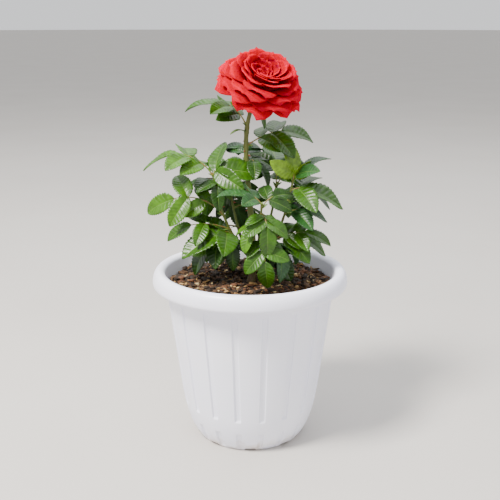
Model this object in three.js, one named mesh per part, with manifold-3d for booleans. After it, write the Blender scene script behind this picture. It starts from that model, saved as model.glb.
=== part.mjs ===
// A potted rose bush: one green cane that ends in a single large red bloom, five side shoots
// with compound leaves, and potting mix in a grooved white plastic pot.
// Millimetres, +Z up. The origin is the middle of the pot's flat underside, and -Y is its front.
import * as THREE from "three";
import { mergeVertices } from "three/addons/utils/BufferGeometryUtils.js";
import Module from "manifold-3d";

const wasm = await Module();
wasm.setup();

// The clear gap that touching pieces keep.
const CLEARANCE = 0.3;

// Pot: the radii and heights of the outside of its wall.
const WALL_STATIONS = [[68, 0], [77, 15], [86.5, 46], [108.5, 204]];
const WALL_THICKNESS = 2.8;
const FLOOR_HEIGHT = 9;
const POT_SIDES = 36;
const POT_HEIGHT = 225;
const RIM_RADIUS = 125;
const RIM_LEDGE = { height: 3, step: 1.5 };
const CREST_RADIUS = 116;
const MOUTH_RADIUS = 108.5;
const MOUTH_DROP = 7;
const RIM_ARC_STEPS = 3;
const GROOVES = 18;
const GROOVE_WIDTH = 7;
const GROOVE_DEPTH = 1.4;
const WALL_GROOVE = { from: 46, to: 196 };
const FOOT_GROOVE = { from: 2, to: 29 };
const DRAIN_NOTCH = { width: 13, height: 3, depth: 7 };
const OVERCUT = 1;

// Potting mix
const SOIL_LEVEL = 205;
const SOIL_DIP = 2;
const SOIL_RINGS = [86, 62, 38, 14];
const SOIL_BUMP = 2;
const SOIL_WAVES = [{ x: 0.11, y: 0.07, phase: 0 }, { x: -0.06, y: 0.13, phase: 2 }];

// Main cane: a cubic curve from just under the soil's top, past two handles, to the flower's neck.
const CANE = new THREE.CubicBezierCurve3(
  new THREE.Vector3(1.5, 0, SOIL_LEVEL - 4),
  new THREE.Vector3(12, 0, 290),
  new THREE.Vector3(-22, 18, 388),
  new THREE.Vector3(7, 6, 437),
);
const CANE_FOOT_RADIUS = 4.6;
const CANE_NECK_RADIUS = 2.2;
const ROOT_FLARE = 2.4;
const FLARE_SHARE = 0.1;
const CANE_SIDES = 8;
const CANE_STEPS = 12;

// Side shoots: root is the share of the cane where one leaves it, out and height say where it
// ends, and bare is the share of it below its first leaf.
const SHOOTS = {
  left: { azimuth: 190, root: 0.124, out: 49, height: 343, bare: 0.24 },
  right: { azimuth: -6, root: 0.093, out: 50, height: 337, bare: 0.26 },
  front: { azimuth: 285, root: 0.078, out: 42, height: 316, bare: 0.5 },
  back_left: { azimuth: 128, root: 0.105, out: 50, height: 335, bare: 0.4 },
  back_right: { azimuth: 52, root: 0.14, out: 50, height: 322, bare: 0.35 },
};
const SHOOT_ELBOW = { out: 0.75, up: 0.3 };
const SHOOT_RADIUS = 2.3;
const SHOOT_TIP_RADIUS = 1.2;
const SHOOT_SIDES = 6;
const SHOOT_STEPS = 4;

// Compound leaves, one a row, by the foliage that they belong to. at is where one grows, as a share
// of its shoot or cane. Its stalk sets out at azimuth and rise, is reach long and bends down by
// bend. blade is the length of its end leaflet, and roll turns the whole leaf about its stalk.
const LEAVES = {
  left: [
    { at: 1.0, azimuth: 176, rise: 60, reach: 60, bend: 54, leaflets: 5, blade: 54, roll: -8 },
    { at: 1.0, azimuth: -12, rise: 105, reach: 17, bend: 92, leaflets: 3, blade: 56, roll: 45 },
    { at: 0.97, azimuth: 285, rise: 20, reach: 14, bend: 60, leaflets: 3, blade: 36, roll: 0 },
    { at: 0.64, azimuth: 184, rise: 52, reach: 78, bend: 64, leaflets: 5, blade: 47, roll: -55 },
    { at: 0.48, azimuth: 190, rise: 26, reach: 52, bend: 34, leaflets: 3, blade: 40, roll: -30 },
    { at: 0.42, azimuth: 212, rise: 38, reach: 14, bend: 36, leaflets: 3, blade: 60, roll: -20 },
    { at: 0.3, azimuth: 197, rise: 15, reach: 30, bend: 25, leaflets: 3, blade: 42, roll: -60 },
    { at: 0.36, azimuth: 262, rise: 10, reach: 14, bend: 60, leaflets: 3, blade: 36, roll: 0 },
    { at: 0.78, azimuth: 110, rise: 35, reach: 40, bend: 60, leaflets: 3, blade: 44, roll: 0 },
    { at: 0.39, azimuth: 187, rise: 10, reach: 33, bend: 48, leaflets: 3, blade: 51, roll: -30 },
  ],
  right: [
    { at: 1.0, azimuth: 125, rise: 112, reach: 12, bend: 15, leaflets: 3, blade: 46, roll: 0 },
    { at: 1.0, azimuth: 20, rise: 60, reach: 16, bend: 10, leaflets: 3, blade: 44, roll: 0 },
    { at: 0.93, azimuth: -8, rise: 25, reach: 14, bend: 22, leaflets: 3, blade: 60, roll: 20 },
    { at: 0.72, azimuth: 0, rise: 25, reach: 18, bend: 20, leaflets: 3, blade: 46, roll: 20 },
    { at: 0.42, azimuth: -6, rise: 30, reach: 42, bend: 30, leaflets: 5, blade: 40, roll: 25 },
    { at: 0.36, azimuth: 300, rise: 45, reach: 26, bend: 80, leaflets: 3, blade: 47, roll: -25 },
    { at: 0.8, azimuth: 86, rise: 35, reach: 40, bend: 60, leaflets: 3, blade: 42, roll: 0 },
    { at: 0.3, azimuth: 311, rise: 15, reach: 16, bend: 51, leaflets: 3, blade: 45, roll: 30 },
    { at: 0.31, azimuth: 359, rise: 58, reach: 45, bend: 65, leaflets: 3, blade: 56, roll: 25 },
  ],
  front: [
    { at: 1.0, azimuth: 183, rise: 55, reach: 16, bend: 25, leaflets: 3, blade: 46, roll: -10 },
    { at: 0.9, azimuth: 285, rise: 15, reach: 34, bend: 70, leaflets: 5, blade: 38, roll: 0 },
    { at: 0.96, azimuth: 25, rise: 60, reach: 22, bend: 40, leaflets: 3, blade: 38, roll: 40 },
    { at: 0.8, azimuth: 235, rise: 25, reach: 24, bend: 60, leaflets: 3, blade: 34, roll: 0 },
    { at: 0.68, azimuth: 280, rise: -2, reach: 54, bend: 67, leaflets: 5, blade: 40, roll: 15 },
  ],
  back_left: [
    { at: 1.0, azimuth: 100, rise: 55, reach: 30, bend: 40, leaflets: 5, blade: 42, roll: 0 },
    { at: 0.9, azimuth: 190, rise: 46, reach: 44, bend: 55, leaflets: 5, blade: 46, roll: 0 },
    { at: 0.7, azimuth: 60, rise: 15, reach: 44, bend: 55, leaflets: 3, blade: 46, roll: 0 },
    { at: 0.5, azimuth: 150, rise: 10, reach: 46, bend: 55, leaflets: 3, blade: 46, roll: 0 },
    { at: 0.9, azimuth: 74, rise: -6, reach: 37, bend: 68, leaflets: 5, blade: 48, roll: -40 },
  ],
  back_right: [
    { at: 1.0, azimuth: 50, rise: 55, reach: 30, bend: 40, leaflets: 5, blade: 42, roll: 0 },
    { at: 0.85, azimuth: -15, rise: 54, reach: 44, bend: 55, leaflets: 5, blade: 46, roll: 0 },
    { at: 0.61, azimuth: 94, rise: -2, reach: 44, bend: 55, leaflets: 3, blade: 46, roll: 0 },
    { at: 0.45, azimuth: 35, rise: 10, reach: 46, bend: 55, leaflets: 3, blade: 46, roll: 0 },
    { at: 0.99, azimuth: 89, rise: 67, reach: 38, bend: 28, leaflets: 3, blade: 59, roll: 15 },
  ],
};

// Leaves that grow on the cane itself, each a node of its own.
const CANE_LEAVES = {
  upper_left_leaf: {
    at: 0.8, azimuth: 178, rise: 72, reach: 50, bend: 54, leaflets: 5, blade: 50, roll: -10,
  },
  upper_right_leaf: {
    at: 0.69, azimuth: 6, rise: 38, reach: 50, bend: 30, leaflets: 5, blade: 50, roll: 30,
  },
  small_left_leaf: {
    at: 0.77, azimuth: 200, rise: 45, reach: 8, bend: 30, leaflets: 1, blade: 16, roll: 0,
  },
  middle_leaf: {
    at: 0.6, azimuth: 345, rise: 45, reach: 18, bend: 80, leaflets: 3, blade: 38, roll: 10,
  },
  back_leaf: {
    at: 0.6, azimuth: 100, rise: 64, reach: 40, bend: 60, leaflets: 5, blade: 40, roll: 0,
  },
  flower_leaf: {
    at: 0.93, azimuth: -30, rise: 0, reach: 14, bend: 40, leaflets: 1, blade: 20, roll: 0,
  },
};
const STALK_RADIUS = 1.1;
const STALK_TIP_RADIUS = 0.7;
const STALK_SIDES = 3;
const STALK_STEPS = 3;

// Leaflets: for a leaf of so many, where each pair stands on the stalk and how long it is beside
// the end leaflet, from the outermost pair inwards.
const PAIRS = {
  1: [],
  3: [{ share: 0.66, size: 0.86 }],
  5: [{ share: 0.76, size: 0.9 }, { share: 0.42, size: 0.72 }],
};
const LEAFLET_SHAPE = { width: 0.66, fold: 0.2, bend: 38, nod: 14 };
const LEAFLET_OUTLINE = { footPower: 0.62, tipPower: 0.8, peak: 0.452 };
const LEAFLET_HALF_THICKNESS = 0.4;
const LEAFLET_STEPS = 3;
const LEAFLET_FOOT = 0.6;
const FIRST_SEED = 7919;
const SPREAD = { least: 54, most: 70 };
const LIFT = { least: -14, most: 10 };
const GROWTH = { least: 0.93, most: 1.06 };
const TOUCH_VOLUME = 0.01;

// Bloom: it nods towards the front and leans to the right.
const BLOOM_NOD = 30;
const BLOOM_LEAN = 16;
const HIP = { length: 9, radius: 6.5, widestAt: 4, topRadius: 5, sides: 12 };
const HEART = [[0, 0], [16, 0], [34, 5], [39, 13], [33, 24], [24, 31], [13, 33], [0, 31]];
const HEART_SIDES = 8;
const PETALS = 5;
const PETAL_THICKNESS = 1.0;
const PETAL_CELLS = { across: 3, along: 3 };
const PETAL_HANDLES = { foot: 0.42, lip: 0.34 };
const PETAL_EDGE = { from: 0.6, over: 0.42, power: 2.6 };
const PETAL_ROLL = { below: 60, over: 110, power: 2.5, out: 3, down: 7 };
const BLOOM_TURN = 44;
const RING_TURN = 33;
const PETAL_SHIFT = { least: -4, most: 4 };
const PETAL_GROWTH = { least: 0.97, most: 1.03 };
const SEPALS = 5;
const SEPAL = { length: 26, width: 0.27, fold: 0.1, rise: -30, bend: 50, out: 3, below: 2, turn: 10 };

// Rings of petals, from the heart outwards. foot is the radius that a petal starts at, out and up
// are where its edge ends, spread is the angle from its middle to its side, and rise and lip are its
// slopes at both ends. The slip lays one side of each petal outside its neighbour. The outermost
// ring is turned by BLOOM_TURN, and each ring inside it by RING_TURN less than the next one.
const PETAL_RINGS = [
  { foot: 3.5, out: 14.5, up: 39.5, spread: 47, rise: 86, lip: 76 },
  { foot: 5.5, out: 23, up: 44.5, spread: 47, rise: 80, lip: 62 },
  { foot: 7.5, out: 31, up: 43, spread: 44, rise: 72, lip: 43 },
  { foot: 9, out: 41, up: 32.5, spread: 44, rise: 55, lip: 10 },
  { foot: 10, out: 49, up: 21, spread: 42, rise: 38, lip: -20 },
  { foot: 10, out: 51, up: 9, spread: 38, rise: 14, lip: -40 },
];
const PETAL_SLIP = 1.6;

const FINISH = {
  white_plastic: { color: 0xf1f2f4, roughness: 0.42 },
  soil: { color: 0x38281f, roughness: 1 },
  cane: { color: 0x6b7a33, roughness: 0.6 },
  leaf: { color: 0x3c7a28, roughness: 0.42 },
  petal: { color: 0xcf1020, roughness: 0.55 },
};

const radians = THREE.MathUtils.degToRad;
const lerp = THREE.MathUtils.lerp;

// Park and Miller's number sequence, so that the plant is the same each time.
class Dice {
  constructor(seed) {
    this.state = seed;
  }
  between({ least, most }) {
    this.state = (this.state * 16807) % 2147483647;
    return lerp(least, most, this.state / 2147483647);
  }
}

// A unit vector that points to an azimuth from +X, and so many degrees above the horizontal.
function heading(azimuth, rise) {
  const flat = Math.cos(radians(rise));
  const angle = radians(azimuth);
  return new THREE.Vector3(flat * Math.cos(angle), flat * Math.sin(angle), Math.sin(radians(rise)));
}

// Part of a curve, as a curve.
class Stretch extends THREE.Curve {
  constructor(whole, from, to) {
    super();
    Object.assign(this, { whole, from, to });
  }
  getPoint(share, target = new THREE.Vector3()) {
    return this.whole.getPoint(lerp(this.from, this.to, share), target);
  }
}

// A closed solid from a three.js geometry, its seams merged by place alone.
function solidOf(geometry) {
  geometry.deleteAttribute("normal");
  geometry.deleteAttribute("uv");
  const merged = mergeVertices(geometry, 1e-4);
  const vertProperties = new Float32Array(merged.attributes.position.array);
  const triVerts = new Uint32Array(merged.index.array);
  return new wasm.Manifold(new wasm.Mesh({ numProp: 3, vertProperties, triVerts }));
}

function geometryOf(solid) {
  const mesh = solid.getMesh();
  const geometry = new THREE.BufferGeometry();
  geometry.setAttribute("position", new THREE.BufferAttribute(mesh.vertProperties, 3));
  geometry.setIndex(new THREE.BufferAttribute(mesh.triVerts, 1));
  geometry.computeVertexNormals();
  return geometry;
}

const joined = (solids) => wasm.Manifold.union(solids);

// The largest piece of a solid, with any sealed hollow in it filled.
function filled(solid) {
  const shells = solid.decompose().filter((shell) => shell.volume() > 0);
  return shells.sort((a, b) => b.volume() - a.volume())[0];
}

// A round limb along a curve, whose radius is a function of the share of its length.
function limb(curve, radiusAt, sides, steps) {
  const rod = new THREE.CylinderGeometry(1, 1, 1, sides, steps);
  const frames = curve.computeFrenetFrames(steps);
  const place = rod.attributes.position;
  for (let i = 0; i < place.count; i += 1) {
    const share = place.getY(i) + 0.5;
    const step = Math.round(share * steps);
    const radius = radiusAt(share);
    const point = curve.getPointAt(share);
    point.addScaledVector(frames.normals[step], place.getX(i) * radius);
    point.addScaledVector(frames.binormals[step], -place.getZ(i) * radius);
    place.setXYZ(i, ...point);
  }
  return solidOf(rod);
}

// Radii and heights as the points of a profile.
function profileOf(stations) {
  return stations.map(([radius, height]) => new THREE.Vector2(radius, height));
}

// The outside of the pot's wall, from its foot to its rim.
const WALL = profileOf(WALL_STATIONS);

function wallRadius(height) {
  const above = Math.max(1, WALL.findIndex((point) => point.y >= height));
  const [low, high] = [WALL[above - 1], WALL[above]];
  return lerp(low.x, high.x, (height - low.y) / (high.y - low.y));
}

// Points of the wall between two heights, moved in or out.
function wallBetween(from, to, shift) {
  const within = WALL.filter((point) => point.y > from && point.y < to).map((point) => point.y);
  return [from, ...within, to].map((height) => new THREE.Vector2(wallRadius(height) + shift, height));
}

// LatheGeometry turns its profile about Y, so the result is laid over to stand on +Z. It starts
// half a side round, so that one flat side looks to the front.
function lathe(profile, sides) {
  return new THREE.LatheGeometry(profile, sides, Math.PI / sides).rotateX(Math.PI / 2);
}

function turned(profile, sides = POT_SIDES) {
  return solidOf(lathe(profile, sides));
}

// A box from the axis outwards, turned to an azimuth.
function spoke(azimuth, length, width, from, to) {
  const block = new THREE.BoxGeometry(length, width, to - from);
  block.translate(length / 2, 0, (from + to) / 2);
  return solidOf(block.rotateZ(radians(azimuth)));
}

function quarterArc(centre, across, up, startAngle, endAngle) {
  const arc = new THREE.EllipseCurve(centre.x, centre.y, across, up, startAngle, endAngle);
  return arc.getPoints(RIM_ARC_STEPS);
}

// What the grooves take away: all of the wall's skin between two heights that the spokes cross.
function grooves(spokes, { from, to }) {
  const reach = RIM_RADIUS;
  const outside = [new THREE.Vector2(reach, from), new THREE.Vector2(reach, to)];
  const inside = wallBetween(from, to, -GROOVE_DEPTH).reverse();
  const skin = turned([...outside, ...inside, outside[0].clone()]);
  return skin.intersect(spokes);
}

function pot() {
  const top = WALL.at(-1).y;
  const crest = new THREE.Vector2(CREST_RADIUS, top + RIM_LEDGE.height);
  const mouth = new THREE.Vector2(CREST_RADIUS, POT_HEIGHT - MOUTH_DROP);
  const body = turned([
    new THREE.Vector2(0, 0),
    ...WALL,
    new THREE.Vector2(RIM_RADIUS, top),
    new THREE.Vector2(RIM_RADIUS, crest.y),
    ...quarterArc(crest, RIM_RADIUS - RIM_LEDGE.step - crest.x, POT_HEIGHT - crest.y, 0, Math.PI / 2),
    ...quarterArc(mouth, CREST_RADIUS - MOUTH_RADIUS, MOUTH_DROP, Math.PI / 2, Math.PI).slice(1),
    ...wallBetween(FLOOR_HEIGHT, top, -WALL_THICKNESS).reverse(),
    new THREE.Vector2(0, FLOOR_HEIGHT),
  ]);
  const pitch = 360 / GROOVES;
  const spokes = [];
  const notches = [];
  for (let groove = 0; groove < GROOVES; groove += 1) {
    const azimuth = -90 + pitch * groove;
    spokes.push(spoke(azimuth + pitch / 2, RIM_RADIUS, GROOVE_WIDTH, 0, POT_HEIGHT));
    if (groove % 2 === 0) {
      const slot = spoke(azimuth, RIM_RADIUS, DRAIN_NOTCH.width, -OVERCUT, DRAIN_NOTCH.height);
      const kept = spoke(azimuth, WALL[0].x - DRAIN_NOTCH.depth, RIM_RADIUS, -POT_HEIGHT, POT_HEIGHT);
      notches.push(slot.subtract(kept));
    }
  }
  const comb = joined(spokes);
  const cuts = [grooves(comb, WALL_GROOVE), grooves(comb, FOOT_GROOVE), ...notches];
  return body.subtract(joined(cuts));
}

// The top of the mix rolls gently, but lies flat round the cane.
function soilRise(x, y) {
  if (Math.hypot(x, y) < (SOIL_RINGS.at(-1) + SOIL_RINGS.at(-2)) / 2) return 0;
  const [first, second] = SOIL_WAVES.map((wave) => Math.sin(wave.x * x + wave.y * y + wave.phase));
  return SOIL_BUMP * (first + second);
}

function soil() {
  const bottom = FLOOR_HEIGHT + CLEARANCE;
  const side = wallBetween(bottom, SOIL_LEVEL - SOIL_DIP, -WALL_THICKNESS - CLEARANCE);
  const top = SOIL_RINGS.map((radius) => new THREE.Vector2(radius, SOIL_LEVEL));
  const profile = [new THREE.Vector2(0, bottom), ...side, ...top, new THREE.Vector2(0, SOIL_LEVEL)];
  const geometry = lathe(profile, POT_SIDES);
  const place = geometry.attributes.position;
  for (let i = 0; i < place.count; i += 1) {
    if (place.getZ(i) > SOIL_LEVEL - SOIL_DIP / 2) {
      place.setZ(i, SOIL_LEVEL + soilRise(place.getX(i), place.getY(i)));
    }
  }
  return solidOf(geometry);
}

function caneRadius(share) {
  const flare = Math.max(0, 1 - share / FLARE_SHARE);
  return lerp(CANE_FOOT_RADIUS, CANE_NECK_RADIUS, share) + ROOT_FLARE * flare * flare;
}

// The cane, with room round it if extra is given, and cut off flat just above the soil.
function cane(extra = 0) {
  const stem = limb(CANE, (share) => caneRadius(share) + extra, CANE_SIDES, CANE_STEPS);
  const ground = new THREE.BoxGeometry(RIM_RADIUS, RIM_RADIUS, SOIL_LEVEL);
  ground.translate(0, 0, SOIL_LEVEL / 2 + CLEARANCE);
  return stem.subtract(solidOf(ground));
}

function shootCurve({ azimuth, root, out, height }) {
  const start = CANE.getPoint(root);
  const way = heading(azimuth, 0);
  const rise = height - start.z;
  const elbow = start.clone().addScaledVector(way, SHOOT_ELBOW.out * out);
  elbow.z += SHOOT_ELBOW.up * rise;
  const tip = start.clone().addScaledVector(way, out);
  tip.z = height;
  return new THREE.QuadraticBezierCurve3(start, elbow, tip);
}

// One stretch of a shoot, tapered as the whole shoot is.
function shootPart(curve, from, to, extra = 0) {
  const radiusAt = (share) => lerp(SHOOT_RADIUS, SHOOT_TIP_RADIUS, lerp(from, to, share)) + extra;
  return limb(new Stretch(curve, from, to), radiusAt, SHOOT_SIDES, SHOOT_STEPS);
}

function stalkCurve(leaf, root) {
  const first = heading(leaf.azimuth, leaf.rise);
  const last = heading(leaf.azimuth, leaf.rise - leaf.bend);
  const middle = root.clone().addScaledVector(first, leaf.reach / 2);
  const tip = middle.clone().addScaledVector(last, leaf.reach / 2);
  return new THREE.QuadraticBezierCurve3(root, middle, tip);
}

// Which way a stalk runs at a share of its length, and which way its leaflets' faces look there.
function stalkFrame(leaf, share) {
  const along = heading(leaf.azimuth, leaf.rise - leaf.bend * share);
  const side = heading(leaf.azimuth - 90, 0).applyAxisAngle(along, radians(leaf.roll));
  return { along, side, face: side.clone().cross(along) };
}

// The leaflets of one compound leaf: each has its foot, the way it points, the way its upper face
// looks and its length. The end one nods, and each pair spreads to both sides of the stalk.
function leafletsOf(leaf, stalk, dice) {
  const end = stalkFrame(leaf, 1);
  const nod = radians(-LEAFLET_SHAPE.nod);
  const leaflets = [{
    foot: stalk.getPoint(1),
    along: end.along.applyAxisAngle(end.side, nod),
    face: end.face.applyAxisAngle(end.side, nod),
    length: leaf.blade * dice.between(GROWTH),
  }];
  for (const { share, size } of PAIRS[leaf.leaflets]) {
    for (const hand of [-1, 1]) {
      const { along, face } = stalkFrame(leaf, share);
      along.applyAxisAngle(face, radians(-hand * dice.between(SPREAD)));
      const across = along.clone().cross(face);
      const lift = radians(dice.between(LIFT));
      leaflets.push({
        foot: stalk.getPoint(share),
        along: along.applyAxisAngle(across, lift),
        face: face.applyAxisAngle(across, lift),
        length: leaf.blade * size * dice.between(GROWTH),
      });
    }
  }
  return leaflets;
}

// Half the width of a leaflet at a share of its length, for a greatest half width of 1.
function leafletOutline(share) {
  const { footPower, tipPower, peak } = LEAFLET_OUTLINE;
  return Math.min(1, (share ** footPower * (1 - share) ** tipPower) / peak);
}

// A leaflet: a flat cone of four sides, whose rings take the leaf's outline, bent down along its
// midrib and folded up at both edges.
function leafletSolid({ foot, along, face, length }, shape = LEAFLET_SHAPE) {
  const cone = new THREE.ConeGeometry(1, 1, 4, LEAFLET_STEPS);
  const side = along.clone().cross(face);
  const bend = radians(shape.bend);
  const place = cone.attributes.position;
  for (let i = 0; i < place.count; i += 1) {
    const share = place.getY(i) + 0.5;
    const ring = Math.max(1 - share, Number.EPSILON);
    const across = place.getX(i) / ring;
    const half = Math.max(LEAFLET_FOOT, (shape.width * length * leafletOutline(share)) / 2);
    const turn = bend * share;
    const lift = Math.abs(across) * shape.fold * half + (place.getZ(i) / ring) * LEAFLET_HALF_THICKNESS;
    const point = foot.clone().addScaledVector(side, across * half);
    point.addScaledVector(along, (Math.sin(turn) / bend) * length + Math.sin(turn) * lift);
    point.addScaledVector(face, ((Math.cos(turn) - 1) / bend) * length + Math.cos(turn) * lift);
    place.setXYZ(i, ...point);
  }
  return solidOf(cone);
}

const isClear = (solid, taken) => solid.intersect(taken).volume() < TOUCH_VOLUME;

// A compound leaf's solids. A leaflet that would touch what is taken is skipped, and so is a whole
// leaf whose stalk would.
function leafSolids(leaf, curve, dice, taken) {
  const route = stalkCurve(leaf, curve.getPoint(leaf.at));
  const radiusAt = (share) => lerp(STALK_RADIUS, STALK_TIP_RADIUS, share);
  const stalk = limb(route, radiusAt, STALK_SIDES, STALK_STEPS);
  const leaflets = leafletsOf(leaf, route, dice).map((leaflet) => leafletSolid(leaflet));
  if (!isClear(stalk, taken)) return [];
  return [stalk, ...leaflets.filter((leaflet) => isClear(leaflet, taken))];
}

// The breadth of a petal at a share of its length, beside its greatest breadth.
function petalOutline(share) {
  const { from, over, power } = PETAL_EDGE;
  return Math.sqrt(1 - (Math.max(0, share - from) / over) ** power);
}

// A petal of a ring, in the flower's own frame: a plate that follows its midline from the foot to
// the edge, wraps round the axis, and lets both sides of an open petal roll down.
function petalSolid(ring, azimuth, growth) {
  const foot = new THREE.Vector2(ring.foot, 0);
  const edge = new THREE.Vector2(ring.out, ring.up).multiplyScalar(growth);
  const span = foot.distanceTo(edge);
  const slope = (angle) => new THREE.Vector2(Math.cos(radians(angle)), Math.sin(radians(angle)));
  const midline = new THREE.CubicBezierCurve(
    foot,
    foot.clone().addScaledVector(slope(ring.rise), PETAL_HANDLES.foot * span),
    edge.clone().addScaledVector(slope(ring.lip), -PETAL_HANDLES.lip * span),
    edge,
  );
  const roll = Math.max(0, PETAL_ROLL.below - ring.lip) / PETAL_ROLL.over;
  const plate = new THREE.BoxGeometry(2, 1, PETAL_THICKNESS, PETAL_CELLS.across, PETAL_CELLS.along, 1);
  const place = plate.attributes.position;
  for (let i = 0; i < place.count; i += 1) {
    const side = place.getX(i);
    const share = place.getY(i) + 0.5;
    const point = midline.getPoint(share);
    const slopeHere = midline.getTangent(share);
    const curl = roll * Math.abs(side) ** PETAL_ROLL.power * share * share;
    const slip = PETAL_SLIP * side;
    const radius = point.x + slip + PETAL_ROLL.out * curl + place.getZ(i) * slopeHere.y;
    const height = point.y - PETAL_ROLL.down * curl - place.getZ(i) * slopeHere.x;
    const turn = radians(azimuth + side * ring.spread * petalOutline(share));
    place.setXYZ(i, radius * Math.cos(turn), radius * Math.sin(turn), height);
  }
  return solidOf(plate);
}

function bloom(dice) {
  const solids = [turned(profileOf(HEART), HEART_SIDES)];
  PETAL_RINGS.forEach((ring, order) => {
    const turn = BLOOM_TURN + RING_TURN * (order + 1 - PETAL_RINGS.length);
    for (let petal = 0; petal < PETALS; petal += 1) {
      const azimuth = turn + (360 * petal) / PETALS + dice.between(PETAL_SHIFT);
      solids.push(petalSolid(ring, azimuth, dice.between(PETAL_GROWTH)));
    }
  });
  return filled(joined(solids));
}

// The green hip under the flower, with its sepals turned back, in the flower's own frame.
function hip() {
  const top = HIP.length - CLEARANCE;
  const bulb = [[0, 0], [CANE_NECK_RADIUS, 0], [HIP.radius, HIP.widestAt], [HIP.topRadius, top], [0, top]];
  const solids = [turned(profileOf(bulb), HIP.sides)];
  for (let sepal = 0; sepal < SEPALS; sepal += 1) {
    const azimuth = SEPAL.turn + (360 * sepal) / SEPALS;
    const along = heading(azimuth, SEPAL.rise);
    const face = heading(azimuth, SEPAL.rise + 90);
    const foot = heading(azimuth, 0).multiplyScalar(SEPAL.out).setZ(HIP.length - SEPAL.below);
    solids.push(leafletSolid({ foot, along, face, length: SEPAL.length }, SEPAL));
  }
  return filled(joined(solids));
}

const bush = new THREE.Group();

function place(group, name, solid, finish) {
  const mesh = new THREE.Mesh(geometryOf(solid), new THREE.MeshStandardMaterial(FINISH[finish]));
  mesh.name = name;
  group.add(mesh);
  return solid;
}

place(bush, "pot", pot(), "white_plastic");
place(bush, "potting_mix", soil(), "soil");
place(bush, "main_cane", cane(), "cane");

// The bare limbs, and the room that leaves keep clear of. Each limb's room is a little fatter.
const caneRoom = cane(CLEARANCE);
const shoots = Object.entries(SHOOTS).map(([side, shoot]) => {
  const curve = shootCurve(shoot);
  place(bush, `${side}_shoot`, filled(shootPart(curve, 0, shoot.bare).subtract(caneRoom)), "cane");
  return { side, curve, bare: shoot.bare, room: shootPart(curve, 0, 1, CLEARANCE) };
});

// The leaves of each shoot, on the rest of its length, and then those of the cane.
let grown = caneRoom;
shoots.forEach(({ side, curve, bare }, order) => {
  const dice = new Dice(FIRST_SEED * (order + 1));
  const others = shoots.filter((shoot) => shoot.side !== side).map((shoot) => shoot.room);
  const taken = joined([grown, shootPart(curve, 0, bare, CLEARANCE), ...others]);
  const stem = shootPart(curve, bare + CLEARANCE / curve.getLength(), 1);
  const leaves = LEAVES[side].flatMap((leaf) => leafSolids(leaf, curve, dice, taken));
  const foliage = filled(joined([stem, ...leaves]));
  place(bush, `${side}_foliage`, foliage, "leaf");
  grown = grown.add(foliage);
});

grown = joined([grown, ...shoots.map((shoot) => shoot.room)]);
Object.entries(CANE_LEAVES).forEach(([name, leaf], order) => {
  const dice = new Dice(FIRST_SEED * (shoots.length + order + 1));
  const solids = leafSolids(leaf, CANE, dice, grown.subtract(cane(STALK_RADIUS)));
  const whole = filled(joined(solids).subtract(caneRoom));
  place(bush, name, whole, "leaf");
  grown = grown.add(whole);
});

// The flower's own frame: its axis is +Z there, and its origin is the cane's neck.
const neck = CANE.getPoint(1);
const axis = new THREE.Vector3(Math.sin(radians(BLOOM_LEAN)), -Math.sin(radians(BLOOM_NOD)), 0);
axis.z = Math.sqrt(1 - axis.lengthSq());
const right = new THREE.Vector3(0, 1, 0).cross(axis).normalize();
const frame = new THREE.Matrix4().makeBasis(right, axis.clone().cross(right), axis).setPosition(neck);
const flower = new THREE.Group();
flower.applyMatrix4(frame);
bush.add(flower);

const caneRoomThere = caneRoom.transform(frame.clone().invert().toArray());
place(flower, "hip_and_sepals", filled(hip().subtract(caneRoomThere)), "cane");
const petals = new THREE.Group();
petals.position.z = HIP.length;
flower.add(petals);
place(petals, "bloom", bloom(new Dice(FIRST_SEED)), "petal");

export default bush;
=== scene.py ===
# %% [markdown]
# # A rose bush in its pot
#
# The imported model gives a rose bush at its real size: a pot, a cane with side shoots, masses of
# leaves and one bloom, all faceted. This lesson gives each of them the surface of the real thing.
# Every piece is built in millimetres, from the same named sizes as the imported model, and turned
# into metres when it is finished, so it lands exactly where the model says.

# %% Load the frame
import bmesh
import bpy
import math
from collections import namedtuple
from mathutils import Matrix, Vector, noise


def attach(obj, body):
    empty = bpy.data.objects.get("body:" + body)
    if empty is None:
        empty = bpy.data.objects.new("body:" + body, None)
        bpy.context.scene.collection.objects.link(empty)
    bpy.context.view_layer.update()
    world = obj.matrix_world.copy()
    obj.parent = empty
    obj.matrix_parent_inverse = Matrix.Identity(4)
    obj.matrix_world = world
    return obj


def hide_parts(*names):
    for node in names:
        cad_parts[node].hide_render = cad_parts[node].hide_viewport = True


MM = 0.001

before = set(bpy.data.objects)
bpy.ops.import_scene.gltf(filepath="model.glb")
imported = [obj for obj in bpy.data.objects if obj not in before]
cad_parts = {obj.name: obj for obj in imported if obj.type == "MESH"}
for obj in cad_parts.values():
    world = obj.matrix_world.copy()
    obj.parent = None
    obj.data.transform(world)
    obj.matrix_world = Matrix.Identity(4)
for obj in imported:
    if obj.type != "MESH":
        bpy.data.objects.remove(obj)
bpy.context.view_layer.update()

# %% [markdown]
# ## Chance that repeats
#
# A plant needs chance, but a script has to grow the same plant each time. Python's own random
# numbers could be seeded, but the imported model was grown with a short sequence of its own, and
# its leaves only come out in the same places if the same numbers are drawn in the same order.
# The noise vectors of mathutils start from the clock, so they are given a seed as well.


# %% A number sequence
MULTIPLIER = 16807
MODULUS = 2147483647
TINY = 1e-6


class Dice:
    """Draws numbers that look like chance from a sequence of remainders."""

    def __init__(self, seed):
        self.state = seed

    def between(self, least, most):
        self.state = self.state * MULTIPLIER % MODULUS
        return least + (most - least) * self.state / MODULUS

    def choice(self, options):
        return options[int(self.between(0, len(options) - TINY))]


FIRST_SEED = 7919
noise.seed_set(FIRST_SEED)
print("first number drawn:", round(Dice(FIRST_SEED).between(0, 1), 4))

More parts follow.
